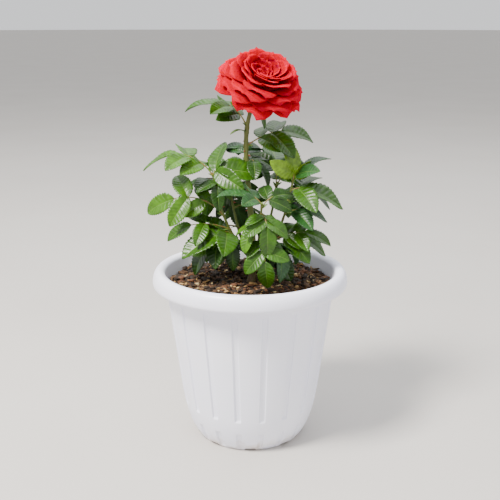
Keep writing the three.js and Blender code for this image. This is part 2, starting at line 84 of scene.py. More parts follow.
# %% [markdown]
# ## Shader maths that reads like Python
#
# A procedural finish is a net of small nodes, and a script that links them one by one is hard to
# read. So one class wraps an output socket and takes part in sums: each sum adds its Math node. A
# second class holds a material, and has the one method that adds any other node.


# %% Sockets that can be added and multiplied
class Wire:
    """An output socket. Sums of wires and numbers add the Math nodes that they stand for."""

    def __init__(self, finish, socket):
        self.finish = finish
        self.socket = socket

    def maths(self, operation, first, second):
        return self.finish.node("ShaderNodeMath", {"operation": operation}, {0: first, 1: second})

    def __add__(self, other):
        return self.maths("ADD", self, other)

    def __sub__(self, other):
        return self.maths("SUBTRACT", self, other)

    def __rsub__(self, other):
        return self.maths("SUBTRACT", other, self)

    def __mul__(self, other):
        return self.maths("MULTIPLY", self, other)

    __radd__ = __add__
    __rmul__ = __mul__

    def clamped(self, low, high):
        """0 at low and below, 1 at high and above, and even in between."""
        settings = {"clamp": True}
        spans = {"Value": self, "From Min": low, "From Max": high}
        return self.finish.node("ShaderNodeMapRange", settings, spans)


# %% A finish
# A Mix node has a pair of inputs and an output for each kind of value. These are its colour ones.
COLOUR_A, COLOUR_B, COLOUR_OUT = 6, 7, 2


class Finish:
    """A material with one Principled shader."""

    def __init__(self, name, surface):
        self.material = bpy.data.materials.new(name)
        self.material.use_nodes = True
        self.tree = self.material.node_tree
        self.shader = self.tree.nodes["Principled BSDF"]
        for socket, value in surface.items():
            self.shader.inputs[socket].default_value = value

    def node(self, kind, settings, values, output=0):
        made = self.tree.nodes.new(kind)
        for setting, value in settings.items():
            setattr(made, setting, value)
        for socket, value in values.items():
            self.plug(value, made.inputs[socket])
        return Wire(self, made.outputs[output])

    def plug(self, value, socket):
        if isinstance(value, Wire):
            self.tree.links.new(value.socket, socket)
        else:
            socket.default_value = value

    def set(self, socket, value):
        self.plug(value, self.shader.inputs[socket])

    def place(self):
        return self.node("ShaderNodeTexCoord", {}, {}, "Object")

    def noise(self, scale, detail):
        """Cloudy noise between 0 and 1. The scale is in lumps per metre."""
        values = {"Vector": self.place(), "Scale": scale, "Detail": detail}
        return self.node("ShaderNodeTexNoise", {}, values, "Fac")

    def cells(self, scale):
        """The distance to the nearest of many scattered points."""
        values = {"Vector": self.place(), "Scale": scale}
        return self.node("ShaderNodeTexVoronoi", {"feature": "F1"}, values, "Distance")

    def mix(self, share, first, second):
        values = {0: share, COLOUR_A: first, COLOUR_B: second}
        return self.node("ShaderNodeMix", {"data_type": "RGBA"}, values, COLOUR_OUT)

    def height(self):
        """How high a point of the object is, in metres."""
        return self.node("ShaderNodeSeparateXYZ", {}, {0: self.place()}, "Z")

    def bump(self, relief, strength, distance):
        values = {"Height": relief, "Strength": strength, "Distance": distance}
        self.set("Normal", self.node("ShaderNodeBump", {}, values, "Normal"))


def linear(level):
    """One channel as a screen shows it, 0 to 255, turned into the linear light of shaders."""
    if level < 11:
        return level / 255 / 12.92
    return ((level / 255 + 0.055) / 1.055) ** 2.4


def paint(red, green, blue):
    return [linear(red), linear(green), linear(blue), 1]


def shaded(colour, by):
    """A darker or lighter colour of the same hue."""
    return [min(1, c * by) for c in colour[:3]] + [1]


# %% [markdown]
# ## From mesh to piece
#
# Each piece is modelled in a bmesh of its own.


# %% Turning a bmesh into a piece
def baked(name, bm):
    """Turns a bmesh into a mesh and frees it."""
    mesh = bpy.data.meshes.new(name)
    bm.to_mesh(mesh)
    bm.free()
    return mesh


def shown(name, data):
    """Links a new object with this data to the scene."""
    made = bpy.data.objects.new(name, data)
    bpy.context.scene.collection.objects.link(made)
    return made


def join(bm, part):
    """Adds a small bmesh to a large one and frees it."""
    mesh = baked("part", part)
    bm.from_mesh(mesh)
    bpy.data.meshes.remove(mesh)


def piece(name, bm, finishes, slot, *nodes):
    bmesh.ops.scale(bm, vec=(MM, MM, MM), verts=bm.verts)
    for face in bm.faces:
        face.smooth = True
    mesh = baked(name, bm)
    for finish in finishes:
        mesh.materials.append(finish.material)
    made = shown(name, mesh)
    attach(made, "root")
    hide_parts(*nodes)
    print(f"{name}: {len(mesh.polygons)} faces")
    return made


def tinted(bm, slot):
    """Gives all faces of a bmesh one slot."""
    for face in bm.faces:
        face.material_index = slot
    return bm


def thicken(made, thickness, offset=0.0, back_slot=0):
    """Gives a sheet its thickness. Its back takes the slot that many places further on."""
    shell = made.modifiers.new("thickness", "SOLIDIFY")
    shell.thickness = thickness * MM
    shell.offset = offset
    shell.material_offset = back_slot
    shell.use_quality_normals = True


# %% [markdown]
# ## The pot
#
# The real pot is one moulding of white plastic: a thin wall that curves in at its foot, a thick
# rolled rim, upright grooves pressed in all round, and notches under its foot that let water out.
# Such a turned shape is best made by spinning its outline. The grooves could be cut with a
# Boolean, but that leaves knife edges, so the spin's columns are crowded at each groove instead
# and pushed in along a smooth step, as a mould would leave them.

# %% The pot's outline
WALL_STATIONS = [(68, 0), (77, 15), (86.5, 46), (97.5, 122), (108.5, 204)]
WALL_THICKNESS = 2.8
FLOOR_HEIGHT = 9
POT_HEIGHT = 225
RIM_RADIUS = 125
RIM_BELLY = 5
RIM_UNDER = 3
CREST_RADIUS = 116
MOUTH_RADIUS = 108.5
MOUTH_DROP = 7
EDGE_ROUND = 0.8
FOOT_BAND = 4
FLOOR_CORNER = 3
ARC_STEPS = 10
EDGE_STEPS = 4
WALL_ROW = 5
MERGE_REACH = 0.01


def wall_radius(height):
    """The outside of the wall at a height, as a smooth curve through the stations."""
    last = len(WALL_STATIONS) - 1
    low = 0
    while low < last - 1 and height > WALL_STATIONS[low + 1][1]:
        low += 1
    (radius, start), (next_radius, end) = WALL_STATIONS[low:low + 2]
    before = WALL_STATIONS[max(low - 1, 0)]
    after = WALL_STATIONS[min(low + 2, last)]
    span = end - start
    slope = (next_radius - before[0]) / (end - before[1])
    next_slope = (after[0] - radius) / (after[1] - start)
    share = (height - start) / span
    rest = 1 - share
    ends = radius * (1 + 2 * share) * rest ** 2 + next_radius * share * share * (3 - 2 * share)
    return ends + span * (slope * share * rest ** 2 + next_slope * share * share * (share - 1))


def arc(centre, across, up, start, end, steps=ARC_STEPS):
    """Points of an ellipse's arc between two angles in degrees. Both ends are among them."""
    turns = [math.radians(start + (end - start) * step / steps) for step in range(steps + 1)]
    middle, level = centre
    return [(middle + across * math.cos(turn), level + up * math.sin(turn)) for turn in turns]


def spin_profile(profile, steps):
    """Turns an outline of radii and heights about Z into a closed surface."""
    bm = bmesh.new()
    verts = [bm.verts.new((radius, 0, height)) for radius, height in profile]
    edges = [bm.edges.new(pair) for pair in zip(verts, verts[1:])]
    bmesh.ops.spin(bm, geom=verts + edges, cent=(0, 0, 0), axis=(0, 0, 1), angle=math.tau,
                   steps=steps, use_merge=True)
    bmesh.ops.remove_doubles(bm, verts=bm.verts, dist=MERGE_REACH)
    bmesh.ops.recalc_face_normals(bm, faces=bm.faces)
    return bm


print("wall at mid height:", round(wall_radius(POT_HEIGHT / 2), 1), "mm from the axis")


# %% The grooves
GROOVES = 18
GROOVE_WIDTH = 7
GROOVE_DEPTH = 2.1
GROOVE_SOFTNESS = 0.55
GROOVE_RAMP = 4
RAMP_ROWS = 4
GROOVE_SPANS = [(46, 196), (2, 29)]
HALF_GROOVE_COLUMNS = [0, 1.3, 2.5, 2.9, 3.3, 3.7, 4.1, 4.5, 5.6]
COLUMNS_A_PANEL = 24
NEAR_AXIS = 7
ROW_MARGIN = 1


def ease(value, low, high):
    """A smooth step from 0 at low to 1 at high."""
    share = min(1, max(0, (value - low) / (high - low)))
    return share * share * (3 - 2 * share)


def column_offset(column, radius):
    """How far round from its groove a column of the spin stands, in millimetres."""
    half_pitch = radius * math.pi / GROOVES
    last = len(HALF_GROOVE_COLUMNS) - 1
    if column <= last:
        return HALF_GROOVE_COLUMNS[column]
    share = (column - last) / (COLUMNS_A_PANEL / 2 - last)
    return HALF_GROOVE_COLUMNS[last] + share * (half_pitch - HALF_GROOVE_COLUMNS[last])


def groove_depth(offset, height):
    half = GROOVE_WIDTH / 2
    across = 1 - ease(offset, half - GROOVE_SOFTNESS, half + GROOVE_SOFTNESS)
    along = [
        ease(height, low, low + GROOVE_RAMP) * (1 - ease(height, high - GROOVE_RAMP, high))
        for low, high in GROOVE_SPANS
    ]
    return GROOVE_DEPTH * across * max(along)


def press_grooves(bm):
    """Crowds the spin's columns at the grooves, and pushes the outer wall in there."""
    pitch = math.tau / GROOVES
    foot = WALL_STATIONS[0][0]
    wall_top = WALL_STATIONS[-1][1]
    for vert in bm.verts:
        radius = vert.co.xy.length
        height = vert.co.z
        if radius < NEAR_AXIS:
            continue
        column = round(math.atan2(vert.co.y, vert.co.x) / pitch * COLUMNS_A_PANEL)
        groove = round(column / COLUMNS_A_PANEL)
        side = column - groove * COLUMNS_A_PANEL
        offset = column_offset(abs(side), max(radius, foot))
        angle = groove * pitch + math.copysign(offset, side) / max(radius, foot)
        if abs(radius - wall_radius(height)) < EDGE_ROUND / 2 and height < wall_top - ROW_MARGIN:
            radius -= groove_depth(offset, height)
        vert.co.xy = radius * math.cos(angle), radius * math.sin(angle)


print("a groove at mid height:", groove_depth(0, POT_HEIGHT / 2), "mm deep")


# %% The white plastic
SPLASHED_UP_TO = 0.05


def plastic_finish():
    finish = Finish("white_plastic", {"Coat Weight": 0.15, "Coat Roughness": 0.25})
    cloud = finish.noise(scale=14, detail=4)
    low = 1 - finish.height().clamped(0, SPLASHED_UP_TO)
    splash = (finish.noise(scale=55, detail=6) * low).clamped(0.35, 0.6)
    body = finish.mix(cloud, paint(234, 236, 255), paint(245, 246, 255))
    finish.set("Base Color", finish.mix(splash * 0.55, body, paint(196, 178, 154)))
    finish.set("Roughness", finish.noise(scale=90, detail=3) * 0.16 + splash * 0.2 + 0.28)
    skin = finish.noise(scale=30, detail=2) + finish.noise(scale=700, detail=2) * 0.08
    finish.bump(skin, strength=0.12, distance=0.001)
    return finish


# %% Moulding the pot
NOTCH_WIDTH = 13
NOTCH_HEIGHT = 3
NOTCH_DEPTH = 7


def wall_rows():
    """The heights of the outer wall's rows, with more of them where a groove starts or ends."""
    rows = set(range(WALL_ROW, WALL_STATIONS[-1][1], WALL_ROW))
    for low, high in GROOVE_SPANS:
        for end in (low, high - GROOVE_RAMP):
            rows |= {end + GROOVE_RAMP * step / RAMP_ROWS for step in range(RAMP_ROWS + 1)}
    return sorted(rows)


def pot_profile():
    """The pot's outline, from the middle of its underside out, up, over the rim and down inside."""
    foot = WALL_STATIONS[0][0]
    top = WALL_STATIONS[-1][1]
    belly = top + RIM_BELLY
    mouth = POT_HEIGHT - MOUTH_DROP
    outer = [(wall_radius(z), z) for z in wall_rows() if ROW_MARGIN < z < top - ROW_MARGIN]
    inner = [(wall_radius(z) - WALL_THICKNESS, z) for z in range(top, FLOOR_HEIGHT, -WALL_ROW)]
    return [
        (0, 0),
        (foot - FOOT_BAND, 0),
        *arc((foot - EDGE_ROUND, EDGE_ROUND), EDGE_ROUND, EDGE_ROUND, -90, 0, EDGE_STEPS),
        *outer,
        (wall_radius(top), top),
        *arc((RIM_RADIUS - RIM_UNDER, belly), RIM_UNDER, RIM_BELLY, -90, 0),
        *arc((CREST_RADIUS, belly), RIM_RADIUS - CREST_RADIUS, POT_HEIGHT - belly, 0, 90)[1:],
        *arc((CREST_RADIUS, mouth), CREST_RADIUS - MOUTH_RADIUS, MOUTH_DROP, 90, 180)[1:],
        *inner,
        (wall_radius(FLOOR_HEIGHT) - WALL_THICKNESS - FLOOR_CORNER, FLOOR_HEIGHT),
        (0, FLOOR_HEIGHT),
    ]


def cut_notches(pot):
    """Cuts the drain notches under every other panel with one Boolean."""
    bm = bmesh.new()
    inside = WALL_STATIONS[0][0] - NOTCH_DEPTH
    pitch = 720 / GROOVES
    for notch in range(GROOVES // 2):
        turn = Matrix.Rotation(math.radians(-90 + pitch * notch), 4, "Z")
        size = Matrix.Diagonal((RIM_RADIUS - inside, NOTCH_WIDTH, 2 * NOTCH_HEIGHT, 1))
        out = Matrix.Translation(((RIM_RADIUS + inside) / 2, 0, 0))
        bmesh.ops.create_cube(bm, size=1, matrix=turn @ out @ size)
    bmesh.ops.scale(bm, vec=(MM, MM, MM), verts=bm.verts)
    cutter = shown("notches", baked("notches", bm))
    cut = pot.modifiers.new("notches", "BOOLEAN")
    cut.object = cutter
    cut.solver = "EXACT"
    bpy.context.view_layer.update()
    done = bpy.data.meshes.new_from_object(pot.evaluated_get(bpy.context.evaluated_depsgraph_get()))
    pot.modifiers.clear()
    pot.data = done
    bpy.data.objects.remove(cutter)


pot_mesh = spin_profile(pot_profile(), GROOVES * COLUMNS_A_PANEL)
press_grooves(pot_mesh)
moulded_pot = piece("moulded_pot", pot_mesh, [plastic_finish()], "white_plastic", "pot")
cut_notches(moulded_pot)
print("notched pot:", len(moulded_pot.data.polygons), "faces")

# %% [markdown]
# ## The potting mix
#
# Moist potting mix is dark crumbs, bark chips and a few pale fibres. A bumpy surface alone looks
# like mud, because each chip in the photo throws its own small shadow. So the bed is a lumpy
# turned surface, and thousands of real chips lie on it, each a squashed and dented ball of few
# faces. Their five colours are dealt out by chance, with more of the red round the cane's foot.

# %% The bed
CLEARANCE = 0.3
SOIL_LEVEL = 205
SOIL_DIP = 2
BED_RINGS = 60
BED_COLUMNS = 180
BED_SIDE_ROWS = 20
SOIL_WAVES = [(0.11, 0.07, 0), (-0.06, 0.13, 2)]
SOIL_BUMP = 1.2
LUMPS = [(0.06, 3.4), (0.2, 2.8)]
FLAT_RADIUS = 26


def soil_top(x, y):
    """The height of the bed's surface, which is flatter round the cane's foot."""
    waves = sum(math.sin(wx * x + wy * y + phase) for wx, wy, phase in SOIL_WAVES)
    lumps = sum(size * noise.noise(Vector((x, y, 0)) * scale) for scale, size in LUMPS)
    return SOIL_LEVEL + (SOIL_BUMP * waves + lumps) * ease(math.hypot(x, y), 0, FLAT_RADIUS)


def soil_bed():
    """Fills the pot from its floor up, a little clear of its wall."""
    bottom = FLOOR_HEIGHT + CLEARANCE
    edge = SOIL_LEVEL - SOIL_DIP
    rows = range(BED_SIDE_ROWS + 1)
    heights = [bottom + (edge - bottom) * row / BED_SIDE_ROWS for row in rows]
    side = [(wall_radius(height) - WALL_THICKNESS - CLEARANCE, height) for height in heights]
    reach = wall_radius(edge) - WALL_THICKNESS - CLEARANCE
    top = [(reach * (1 - ring / BED_RINGS), SOIL_LEVEL) for ring in range(1, BED_RINGS)]
    bm = spin_profile([(0, bottom), *side, *top, (0, SOIL_LEVEL)], BED_COLUMNS)
    for vert in bm.verts:
        if vert.co.z > SOIL_LEVEL - SOIL_DIP / 2:
            vert.co.z = soil_top(vert.co.x, vert.co.y)
    return bm


# %% The mix's colours
def soil_finish():
    finish = Finish("dark_mix", {"Roughness": 0.95})
    grain = finish.cells(420)
    crumbs = finish.noise(scale=160, detail=8)
    dark = finish.mix(crumbs.clamped(0.35, 0.7), paint(35, 22, 9), paint(76, 51, 27))
    finish.set("Base Color", finish.mix(grain.clamped(0.1, 0.6) * 0.4, dark, paint(74, 50, 36)))
    finish.bump(crumbs + grain * 0.6, strength=0.9, distance=0.003)
    return finish


def chip_finish(name, colour):
    finish = Finish(name, {"Roughness": 0.85})
    streaks = finish.noise(scale=900, detail=4)
    finish.set("Base Color", finish.mix(streaks, shaded(colour, 0.55), shaded(colour, 1.35)))
    finish.bump(streaks, strength=0.5, distance=0.0008)
    return finish


CHIP_COLOURS = {
    "chip_black": (40, 26, 12),
    "chip_brown": (82, 56, 29),
    "chip_red": (98, 60, 33),
    "chip_tan": (160, 125, 76),
    "chip_straw": (216, 191, 138),
}
chip_finishes = [chip_finish(name, paint(*colour)) for name, colour in CHIP_COLOURS.items()]
print("chip finishes:", len(chip_finishes))

# %% Strewing the chips
CHIPS = 3640
CHIPS_A_BATCH = 140
CHIP_DEAL = [0] * 14 + [1] * 9 + [2] * 4 + [3] * 3 + [4] * 1
RED_RADIUS = 30
RED_DEAL = [0, 1, 1, 2, 2, 2, 3]
CHIP_LENGTHS = (1.3, 4.0)
CHIP_STRETCHES = [1, 1, 2.1]
CHIP_WIDTHS = (0.35, 0.8)
CHIP_THICKNESSES = (0.6, 1.5)
CHIP_ROLLS = (-0.5, 0.5)
CHIP_PITCHES = (-0.4, 0.4)
CHIP_LIFTS = (0.1, 1.0)
CHIP_DENT = 0.25
CHIP_DENT_SCALE = 0.7
CHIP_FREE_RADIUS = 9.5
CHIP_WALL_GAP = 4


def strew_chip(bm, dice):
    """One chip: a ball of twenty faces, squashed, stretched, turned and dented."""
    reach = wall_radius(SOIL_LEVEL) - WALL_THICKNESS - CHIP_WALL_GAP
    radius = CHIP_FREE_RADIUS + (reach - CHIP_FREE_RADIUS) * math.sqrt(dice.between(0, 1))
    angle = dice.between(0, math.tau)
    x, y = radius * math.cos(angle), radius * math.sin(angle)
    length = dice.between(*CHIP_LENGTHS) * dice.choice(CHIP_STRETCHES)
    width = length * dice.between(*CHIP_WIDTHS)
    size = Matrix.Diagonal((length, width, dice.between(*CHIP_THICKNESSES), 1))
    roll = Matrix.Rotation(dice.between(*CHIP_ROLLS), 4, "X")
    pitch = Matrix.Rotation(dice.between(*CHIP_PITCHES), 4, "Y")
    spin = Matrix.Rotation(dice.between(0, math.tau), 4, "Z")
    lie = Matrix.Translation((x, y, soil_top(x, y) + dice.between(*CHIP_LIFTS)))
    place = lie @ spin @ (roll @ pitch) @ size
    ball = bmesh.ops.create_icosphere(bm, subdivisions=1, radius=1, matrix=place)["verts"]
    for vert in ball:
        vert.co += noise.noise_vector(vert.co * CHIP_DENT_SCALE) * CHIP_DENT * length
    slot = dice.choice(RED_DEAL if radius < RED_RADIUS else CHIP_DEAL)
    for face in {face for vert in ball for face in vert.link_faces}:
        face.material_index = slot


def chips():
    dice = Dice(FIRST_SEED)
    bm = bmesh.new()
    for batch in range(CHIPS // CHIPS_A_BATCH):
        part = bmesh.new()
        for chip in range(CHIPS_A_BATCH):
            strew_chip(part, dice)
        join(bm, part)
    return bm


piece("potting_bed", soil_bed(), [soil_finish()], "soil", "potting_mix")
piece("bark_chips", chips(), chip_finishes, "soil")

# %% [markdown]
# ## The cane and its shoots
#
# A rose cane is green and smooth, brown and woody at its foot, a little swollen where each leaf
# or shoot leaves it, and armed with prickles. A curve with a bevel could make it, but its radius
# is set only at the curve's few points. So a ring is extruded from station to station along the
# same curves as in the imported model, set square to the path each time, and its radius follows a
# formula. A prickle is a flattened cone that droops. It is all put together once the leaves are
# known.

# %% Curves
CANE = [Vector(p) for p in ((1.5, 0, SOIL_LEVEL - 4), (12, 0, 290), (-22, 18, 388), (7, 6, 437))]
CANE_FOOT_RADIUS = 4.6
CANE_NECK_RADIUS = 2.2
ROOT_FLARE = 2.4
FLARE_SHARE = 0.1
SHOOT_ELBOW_OUT = 0.75
SHOOT_ELBOW_UP = 0.3
SHOOT_RADIUS = 2.3
SHOOT_TIP_RADIUS = 1.2
Shoot = namedtuple("Shoot", "azimuth root out height")
SHOOTS = {
    "left": Shoot(190, 0.124, 49, 343),
    "right": Shoot(-6, 0.093, 50, 337),
    "front": Shoot(285, 0.078, 42, 316),
    "back_left": Shoot(128, 0.105, 50, 335),
    "back_right": Shoot(52, 0.14, 50, 322),
}


def mid(first, second, share):
    return first + (second - first) * share


def on_curve(handles, share):
    """A point of the smooth curve that its handles draw."""
    points = list(handles)
    while len(points) > 1:
        points = [a.lerp(b, share) for a, b in zip(points, points[1:])]
    return points[0]


def heading(azimuth, rise):
    """A unit vector towards an azimuth from +X, so many degrees above the horizontal."""
    flat = math.cos(math.radians(rise))
    angle = math.radians(azimuth)
    return Vector((flat * math.cos(angle), flat * math.sin(angle), math.sin(math.radians(rise))))


def turned(vector, axis, degrees):
    return Matrix.Rotation(math.radians(degrees), 3, axis) @ vector


def shoot_curve(shoot):
    start = on_curve(CANE, shoot.root)
    way = heading(shoot.azimuth, 0)
    rise = shoot.height - start.z
    elbow = start + way * SHOOT_ELBOW_OUT * shoot.out + Vector((0, 0, SHOOT_ELBOW_UP * rise))
    tip = start + way * shoot.out
    tip.z = shoot.height
    return [start, elbow, tip]


# %% A ring that follows a path
def sweep(handles, radius_at, sides, steps):
    """A round limb with closed ends along the curve of some handles."""
    shares = [step / steps for step in range(steps + 1)]
    points = [on_curve(handles, share) for share in shares]
    ways = [(b - a).normalized() for a, b in zip(points, points[1:])]
    ways.append(ways[-1])
    turn = Vector((0, 0, 1)).rotation_difference(ways[0])
    stations = []
    for share, point, before, way in zip(shares, points, [ways[0]] + ways, ways):
        turn = before.rotation_difference(way) @ turn
        size = Matrix.Diagonal((*(radius_at(share),) * 3, 1))
        stations.append(Matrix.Translation(point) @ turn.to_matrix().to_4x4() @ size)
    bm = bmesh.new()
    ring = bmesh.ops.create_circle(bm, segments=sides, radius=1)["verts"]
    edges = bm.edges[:]
    bmesh.ops.transform(bm, matrix=stations[0], verts=ring)
    bmesh.ops.contextual_create(bm, geom=edges)
    for before, after in zip(stations, stations[1:]):
        made = bmesh.ops.extrude_edge_only(bm, edges=edges)["geom"]
        ring = [item for item in made if isinstance(item, bmesh.types.BMVert)]
        edges = [item for item in made if isinstance(item, bmesh.types.BMEdge)]
        bmesh.ops.transform(bm, matrix=after @ before.inverted(), verts=ring)
    bmesh.ops.contextual_create(bm, geom=edges)
    bmesh.ops.recalc_face_normals(bm, faces=bm.faces)
    return bm


# %% Bark
CANE_SIDES = 24
CANE_STEPS = 110
SHOOT_SIDES = 16
SHOOT_STEPS = 60
KNUCKLE = 0.55
KNUCKLE_REACH = 0.012
LEAF_KNUCKLES = [0.42, 0.6, 0.69, 0.77, 0.8, 0.93]
CANE_KNUCKLES = [shoot.root for shoot in SHOOTS.values()] + LEAF_KNUCKLES
BARK_STRETCH = 0.3
BARK_RELIEF = 0.22
BARK_GRAIN = 0.35


def knuckle(share, places):
    """How much a limb swells at a share of its length, where leaves leave it at these places."""
    return KNUCKLE * sum(math.exp(-((share - place) / KNUCKLE_REACH) ** 2) for place in places)


def cane_radius(share):
    flare = max(0, 1 - share / FLARE_SHARE)
    plain = mid(CANE_FOOT_RADIUS, CANE_NECK_RADIUS, share) + ROOT_FLARE * flare * flare
    return plain + knuckle(share, CANE_KNUCKLES)


def roughen(bm):
    """Fine ridges, which are longer along the limb than round it."""
    bm.normal_update()
    for vert in bm.verts:
        grain = Vector((vert.co.x, vert.co.y, vert.co.z * BARK_STRETCH)) * BARK_GRAIN
        vert.co += vert.normal * noise.noise(grain) * BARK_RELIEF


# %% Prickles
PRICKLE_LENGTH = 3.6
PRICKLE_FOOT = 1.5
PRICKLE_TIP = 0.12
PRICKLE_SINK = 0.5
PRICKLE_SIDES = 8
PRICKLE_CUTS = 2
PRICKLE_FLATTEN = 0.45
PRICKLE_DROOP = 0.35
TANGENT_STEP = 0.01


def prickle(handles, share, radius, azimuth):
    """A broad-footed prickle, which points a little downwards. Its faces take the second slot."""
    along = on_curve(handles, min(1, share + TANGENT_STEP)) - on_curve(handles, share)
    along.normalize()
    out = (heading(azimuth, 0) - along * heading(azimuth, 0).dot(along)).normalized()
    turn = Matrix((along.cross(out), along, out)).transposed().to_4x4()
    lift = Matrix.Translation((0, 0, radius + PRICKLE_LENGTH / 2 - PRICKLE_SINK))
    place = Matrix.Translation(on_curve(handles, share)) @ turn @ lift
    bm = bmesh.new()
    bmesh.ops.create_cone(bm, cap_ends=True, segments=PRICKLE_SIDES, radius1=PRICKLE_FOOT,
                          radius2=PRICKLE_TIP, depth=PRICKLE_LENGTH)
    slopes = [edge for edge in bm.edges if edge.verts[0].co.z != edge.verts[1].co.z]
    bmesh.ops.subdivide_edges(bm, edges=slopes, cuts=PRICKLE_CUTS)
    for vert in bm.verts:
        high = vert.co.z / PRICKLE_LENGTH + 0.5
        vert.co.x *= PRICKLE_FLATTEN
        vert.co.y -= PRICKLE_DROOP * PRICKLE_LENGTH * high * high
    bmesh.ops.transform(bm, matrix=place, verts=bm.verts)
    return tinted(bm, 1)


# %% The cane's finishes
# Between the two heights of a pair, in metres, one colour gives way to the next.
WOOD_TO_GREEN = (0.228, 0.262)
GREEN_TO_OLIVE = (0.33, 0.45)


def cane_finish():
    finish = Finish("green_bark", {})
    streak = finish.noise(scale=240, detail=5)
    high = finish.height() + streak * 0.05
    young = finish.mix(streak, paint(66, 84, 22), paint(108, 118, 44))
    old = finish.mix(streak, paint(72, 50, 30), paint(118, 92, 58))
    low = finish.mix(high.clamped(*WOOD_TO_GREEN), old, young)
    top = high.clamped(*GREEN_TO_OLIVE) * 0.6
    finish.set("Base Color", finish.mix(top, low, paint(84, 76, 26)))
    finish.set("Roughness", streak * 0.25 + 0.36)
    finish.bump(streak, strength=0.3, distance=0.0012)
    return finish


def prickle_finish():
    finish = Finish("red_prickle", {"Roughness": 0.4})
    tone = finish.noise(scale=500, detail=2)
    finish.set("Base Color", finish.mix(tone, paint(120, 44, 34), paint(164, 96, 60)))
    return finish


print("cane at its foot and neck:", [round(cane_radius(share), 1) for share in (0, 1)], "mm")

# %% [markdown]
# ## Leaves
#
# A rose leaf is compound: three or five toothed leaflets on one stalk, the largest at its end.
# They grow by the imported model's own rule, from the same rows, so each leaflet lies where the
# model has it. There it is a folded plate of a few faces. Here it is a fine grid that is laid
# along the same bend and fold, with teeth, a sunken midrib, and the ribs between its side veins
# that catch the light. Each compound leaf takes one of several greens.

# %% Where the leaves grow
Leaf = namedtuple("Leaf", "at azimuth rise reach bend leaflets blade roll tint")
DEEP, MID, FRESH, LIME, BLUISH = range(5)
LEAVES = {
    "left": [
        Leaf(1.0, 176, 60, 60, 54, 5, 54, -8, FRESH),
        Leaf(1.0, -12, 105, 17, 92, 3, 56, 45, MID),
        Leaf(0.97, 285, 20, 14, 60, 3, 36, 0, DEEP),
        Leaf(0.64, 184, 52, 78, 64, 5, 47, -55, FRESH),
        Leaf(0.48, 190, 26, 52, 34, 3, 40, -30, MID),
        Leaf(0.42, 212, 38, 14, 36, 3, 60, -20, MID),
        Leaf(0.3, 197, 15, 30, 25, 3, 42, -60, FRESH),
        Leaf(0.36, 262, 10, 14, 60, 3, 36, 0, DEEP),
        Leaf(0.78, 110, 35, 40, 60, 3, 44, 0, MID),
        Leaf(0.39, 187, 10, 33, 48, 3, 51, -30, DEEP),
    ],
    "right": [
        Leaf(1.0, 125, 112, 12, 15, 3, 46, 0, LIME),
        Leaf(1.0, 20, 60, 16, 10, 3, 44, 0, BLUISH),
        Leaf(0.93, -8, 25, 14, 22, 3, 60, 20, MID),
        Leaf(0.72, 0, 25, 18, 20, 3, 46, 20, BLUISH),
        Leaf(0.42, -6, 30, 42, 30, 5, 40, 25, MID),
        Leaf(0.36, 300, 45, 26, 80, 3, 47, -25, BLUISH),
        Leaf(0.8, 86, 35, 40, 60, 3, 42, 0, MID),
        Leaf(0.3, 311, 15, 16, 51, 3, 45, 30, DEEP),
        Leaf(0.31, 359, 58, 45, 65, 3, 56, 25, MID),
    ],
    "front": [
        Leaf(1.0, 183, 55, 16, 25, 3, 46, -10, BLUISH),
        Leaf(0.9, 285, 15, 34, 70, 5, 38, 0, MID),
        Leaf(0.96, 25, 60, 22, 40, 3, 38, 40, DEEP),
        Leaf(0.8, 235, 25, 24, 60, 3, 34, 0, FRESH),
        Leaf(0.68, 280, -2, 54, 67, 5, 40, 15, MID),
    ],
    "back_left": [
        Leaf(1.0, 100, 55, 30, 40, 5, 42, 0, MID),
        Leaf(0.9, 190, 46, 44, 55, 5, 46, 0, DEEP),
        Leaf(0.7, 60, 15, 44, 55, 3, 46, 0, MID),
        Leaf(0.5, 150, 10, 46, 55, 3, 46, 0, FRESH),
        Leaf(0.9, 74, -6, 37, 68, 5, 48, -40, DEEP),
    ],
    "back_right": [
        Leaf(1.0, 50, 55, 30, 40, 5, 42, 0, FRESH),
        Leaf(0.85, -15, 54, 44, 55, 5, 46, 0, DEEP),
        Leaf(0.61, 94, -2, 44, 55, 3, 46, 0, MID),
        Leaf(0.45, 35, 10, 46, 55, 3, 46, 0, BLUISH),
        Leaf(0.99, 89, 67, 38, 28, 3, 59, 15, DEEP),
    ],
}
CANE_LEAVES = {
    "upper_left_leaf": Leaf(0.8, 178, 72, 50, 54, 5, 50, -10, MID),
    "upper_right_leaf": Leaf(0.69, 6, 38, 50, 30, 5, 50, 30, MID),
    "small_left_leaf": Leaf(0.77, 200, 45, 8, 30, 1, 16, 0, LIME),
    "middle_leaf": Leaf(0.6, 345, 45, 18, 80, 3, 38, 10, DEEP),
    "back_leaf": Leaf(0.6, 100, 64, 40, 60, 5, 40, 0, BLUISH),
    "flower_leaf": Leaf(0.93, -30, 0, 14, 40, 1, 20, 0, MID),
}
PAIRS = {1: [], 3: [(0.66, 0.86)], 5: [(0.76, 0.9), (0.42, 0.72)]}
LEAFLET_NOD = 14
SPREAD = (54, 70)
LIFT = (-14, 10)
GROWTH = (0.93, 1.06)

print("compound leaves:", len(CANE_LEAVES) + sum(len(leaves) for leaves in LEAVES.values()))

# %% The rule that leaves grow by
Leaflet = namedtuple("Leaflet", "foot along face length")


def stalk_curve(leaf, root):
    middle = root + heading(leaf.azimuth, leaf.rise) * leaf.reach / 2
    return [root, middle, middle + heading(leaf.azimuth, leaf.rise - leaf.bend) * leaf.reach / 2]


def stalk_frame(leaf, share):
    """Which way a stalk runs at a share of its length, across it, and its leaflets' upper side."""
    along = heading(leaf.azimuth, leaf.rise - leaf.bend * share)
    side = turned(heading(leaf.azimuth - 90, 0), along, leaf.roll)
    return along, side, side.cross(along)


